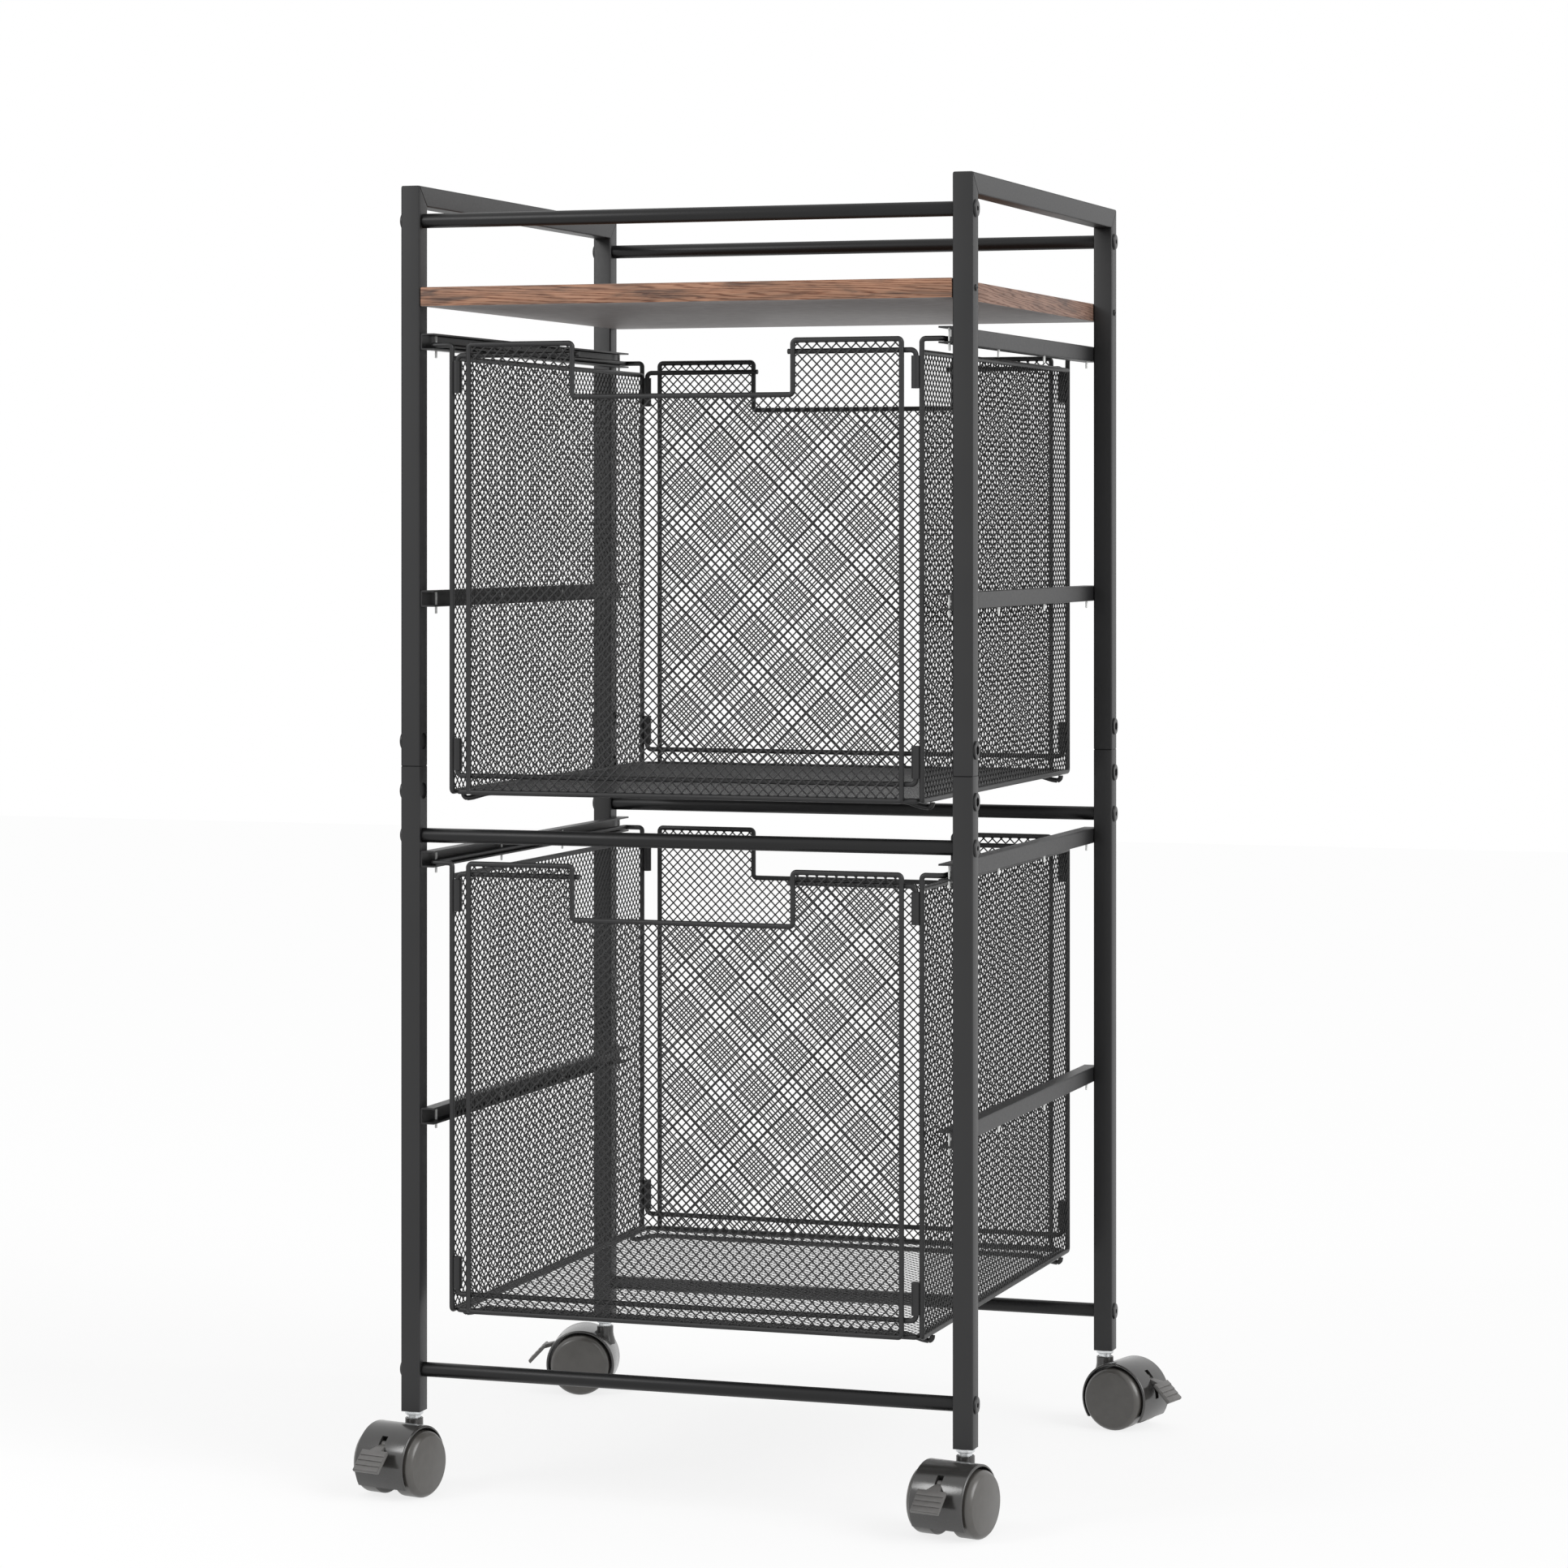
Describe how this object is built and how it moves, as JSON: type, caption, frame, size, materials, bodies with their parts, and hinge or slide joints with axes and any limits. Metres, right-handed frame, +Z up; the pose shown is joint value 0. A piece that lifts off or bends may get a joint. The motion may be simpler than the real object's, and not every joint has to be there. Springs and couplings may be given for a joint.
{
  "type": "mobile file cart",
  "caption": "Rolling file cart: black square-tube frame on twin-wheel braked casters, wooden top board with guard rods, and open wire mesh drawers that slide in channel rails.",
  "frame": {"origin": "on the floor, under the middle of the four posts", "axes": "+Z up, -Y towards the front that the picture shows, +X to its right"},
  "size_m": [0.5119, 0.4526, 0.895],
  "materials": {
    "black_steel": "black powder coat, semi-matt",
    "board_wood": "reddish brown wood-grain face, satin",
    "zinc_steel": "bright zinc plate",
    "black_nylon": "moulded",
    "hood_plastic": "moulded, glossy dark grey",
    "wheel_plastic": "moulded, satin grey"
  },
  "bodies": {
    "frame": {"side_frame_left": "black_steel", "side_frame_right": "black_steel", "lower_post_front_left": "black_steel", "lower_post_front_right": "black_steel", "lower_post_rear_left": "black_steel", "lower_post_rear_right": "black_steel", "post_joint_front_left": "zinc_steel", "post_joint_front_right": "zinc_steel", "post_joint_rear_left": "zinc_steel", "post_joint_rear_right": "zinc_steel", "post_plug_front_left": "black_nylon", "post_plug_front_right": "black_nylon", "post_plug_rear_left": "black_nylon", "post_plug_rear_right": "black_nylon", "caster_stem_front_left": "zinc_steel", "caster_stem_front_right": "zinc_steel", "caster_stem_rear_left": "zinc_steel", "caster_stem_rear_right": "zinc_steel", "cross_rod_top_front": "black_steel", "cross_rod_top_rear": "black_steel", "cross_rod_middle_front": "black_steel", "cross_rod_middle_rear": "black_steel", "cross_rod_low_front": "black_steel", "cross_rod_low_rear": "black_steel", "top_board": "board_wood", "rail_upper_drawer_left": "black_steel", "rail_upper_drawer_right": "black_steel", "rail_upper_spare_left": "black_steel", "rail_upper_spare_right": "black_steel", "rail_lower_drawer_left": "black_steel", "rail_lower_drawer_right": "black_steel", "rail_lower_spare_left": "black_steel", "rail_lower_spare_right": "black_steel"},
    "upper_drawer": {"upper_drawer_front": "black_steel", "upper_drawer_back": "black_steel", "upper_drawer_left": "black_steel", "upper_drawer_right": "black_steel", "upper_drawer_bottom": "black_steel"},
    "lower_drawer": {"lower_drawer_front": "black_steel", "lower_drawer_back": "black_steel", "lower_drawer_left": "black_steel", "lower_drawer_right": "black_steel", "lower_drawer_bottom": "black_steel"},
    "caster_front_left": {"caster_hood_front_left": "hood_plastic"},
    "wheel_a_front_left": {"caster_wheel_a_front_left": "wheel_plastic"},
    "wheel_b_front_left": {"caster_wheel_b_front_left": "wheel_plastic"},
    "brake_front_left": {"caster_brake_front_left": "hood_plastic"},
    "caster_front_right": {"caster_hood_front_right": "hood_plastic"},
    "wheel_a_front_right": {"caster_wheel_a_front_right": "wheel_plastic"},
    "wheel_b_front_right": {"caster_wheel_b_front_right": "wheel_plastic"},
    "brake_front_right": {"caster_brake_front_right": "hood_plastic"},
    "caster_rear_left": {"caster_hood_rear_left": "hood_plastic"},
    "wheel_a_rear_left": {"caster_wheel_a_rear_left": "wheel_plastic"},
    "wheel_b_rear_left": {"caster_wheel_b_rear_left": "wheel_plastic"},
    "brake_rear_left": {"caster_brake_rear_left": "hood_plastic"},
    "caster_rear_right": {"caster_hood_rear_right": "hood_plastic"},
    "wheel_a_rear_right": {"caster_wheel_a_rear_right": "wheel_plastic"},
    "wheel_b_rear_right": {"caster_wheel_b_rear_right": "wheel_plastic"},
    "brake_rear_right": {"caster_brake_rear_right": "hood_plastic"}
  },
  "joints": [
    {"name": "upper_drawer_slide", "type": "slide", "parent": "frame", "child": "upper_drawer", "axis": [0, -1, 0], "range_m": [-0.25, 0.25]},
    {"name": "lower_drawer_slide", "type": "slide", "parent": "frame", "child": "lower_drawer", "axis": [0, -1, 0], "range_m": [-0.25, 0.25]},
    {"name": "front_left_swivel", "type": "hinge", "parent": "frame", "child": "caster_front_left", "pos_m": [-0.197, -0.1845, 0.0496], "axis": [0, 0, 1], "continuous": true},
    {"name": "front_left_wheel_a_spin", "type": "hinge", "parent": "caster_front_left", "child": "wheel_a_front_left", "pos_m": [-0.20051, -0.20113, 0.0225], "axis": [0.9785, -0.2062, 0], "continuous": true},
    {"name": "front_left_wheel_b_spin", "type": "hinge", "parent": "caster_front_left", "child": "wheel_b_front_left", "pos_m": [-0.20051, -0.20113, 0.0225], "axis": [0.9785, -0.2062, 0], "continuous": true},
    {"name": "front_left_brake", "type": "hinge", "parent": "caster_front_left", "child": "brake_front_left", "pos_m": [-0.20401, -0.21777, 0.0365], "axis": [0.9785, -0.2062, 0], "range_deg": [0, 20]},
    {"name": "front_right_swivel", "type": "hinge", "parent": "frame", "child": "caster_front_right", "pos_m": [0.197, -0.1845, 0.0496], "axis": [0, 0, 1], "continuous": true},
    {"name": "front_right_wheel_a_spin", "type": "hinge", "parent": "caster_front_right", "child": "wheel_a_front_right", "pos_m": [0.19349, -0.20113, 0.0225], "axis": [0.9785, -0.2062, 0], "continuous": true},
    {"name": "front_right_wheel_b_spin", "type": "hinge", "parent": "caster_front_right", "child": "wheel_b_front_right", "pos_m": [0.19349, -0.20113, 0.0225], "axis": [0.9785, -0.2062, 0], "continuous": true},
    {"name": "front_right_brake", "type": "hinge", "parent": "caster_front_right", "child": "brake_front_right", "pos_m": [0.18999, -0.21777, 0.0365], "axis": [0.9785, -0.2062, 0], "range_deg": [0, 20]},
    {"name": "rear_left_swivel", "type": "hinge", "parent": "frame", "child": "caster_rear_left", "pos_m": [-0.197, 0.1845, 0.0496], "axis": [0, 0, 1], "continuous": true},
    {"name": "rear_left_wheel_a_spin", "type": "hinge", "parent": "caster_rear_left", "child": "wheel_a_rear_left", "pos_m": [-0.2135, 0.18039, 0.0225], "axis": [0.2419, -0.9703, 0], "continuous": true},
    {"name": "rear_left_wheel_b_spin", "type": "hinge", "parent": "caster_rear_left", "child": "wheel_b_rear_left", "pos_m": [-0.2135, 0.18039, 0.0225], "axis": [0.2419, -0.9703, 0], "continuous": true},
    {"name": "rear_left_brake", "type": "hinge", "parent": "caster_rear_left", "child": "brake_rear_left", "pos_m": [-0.22999, 0.17627, 0.0365], "axis": [0.2419, -0.9703, 0], "range_deg": [0, 20]},
    {"name": "rear_right_swivel", "type": "hinge", "parent": "frame", "child": "caster_rear_right", "pos_m": [0.197, 0.1845, 0.0496], "axis": [0, 0, 1], "continuous": true},
    {"name": "rear_right_wheel_a_spin", "type": "hinge", "parent": "caster_rear_right", "child": "wheel_a_rear_right", "pos_m": [0.21354, 0.18059, 0.0225], "axis": [0.23, 0.9732, 0], "continuous": true},
    {"name": "rear_right_wheel_b_spin", "type": "hinge", "parent": "caster_rear_right", "child": "wheel_b_rear_right", "pos_m": [0.21354, 0.18059, 0.0225], "axis": [0.23, 0.9732, 0], "continuous": true},
    {"name": "rear_right_brake", "type": "hinge", "parent": "caster_rear_right", "child": "brake_rear_right", "pos_m": [0.23009, 0.17668, 0.0365], "axis": [0.23, 0.9732, 0], "range_deg": [0, 20]}
  ]
}
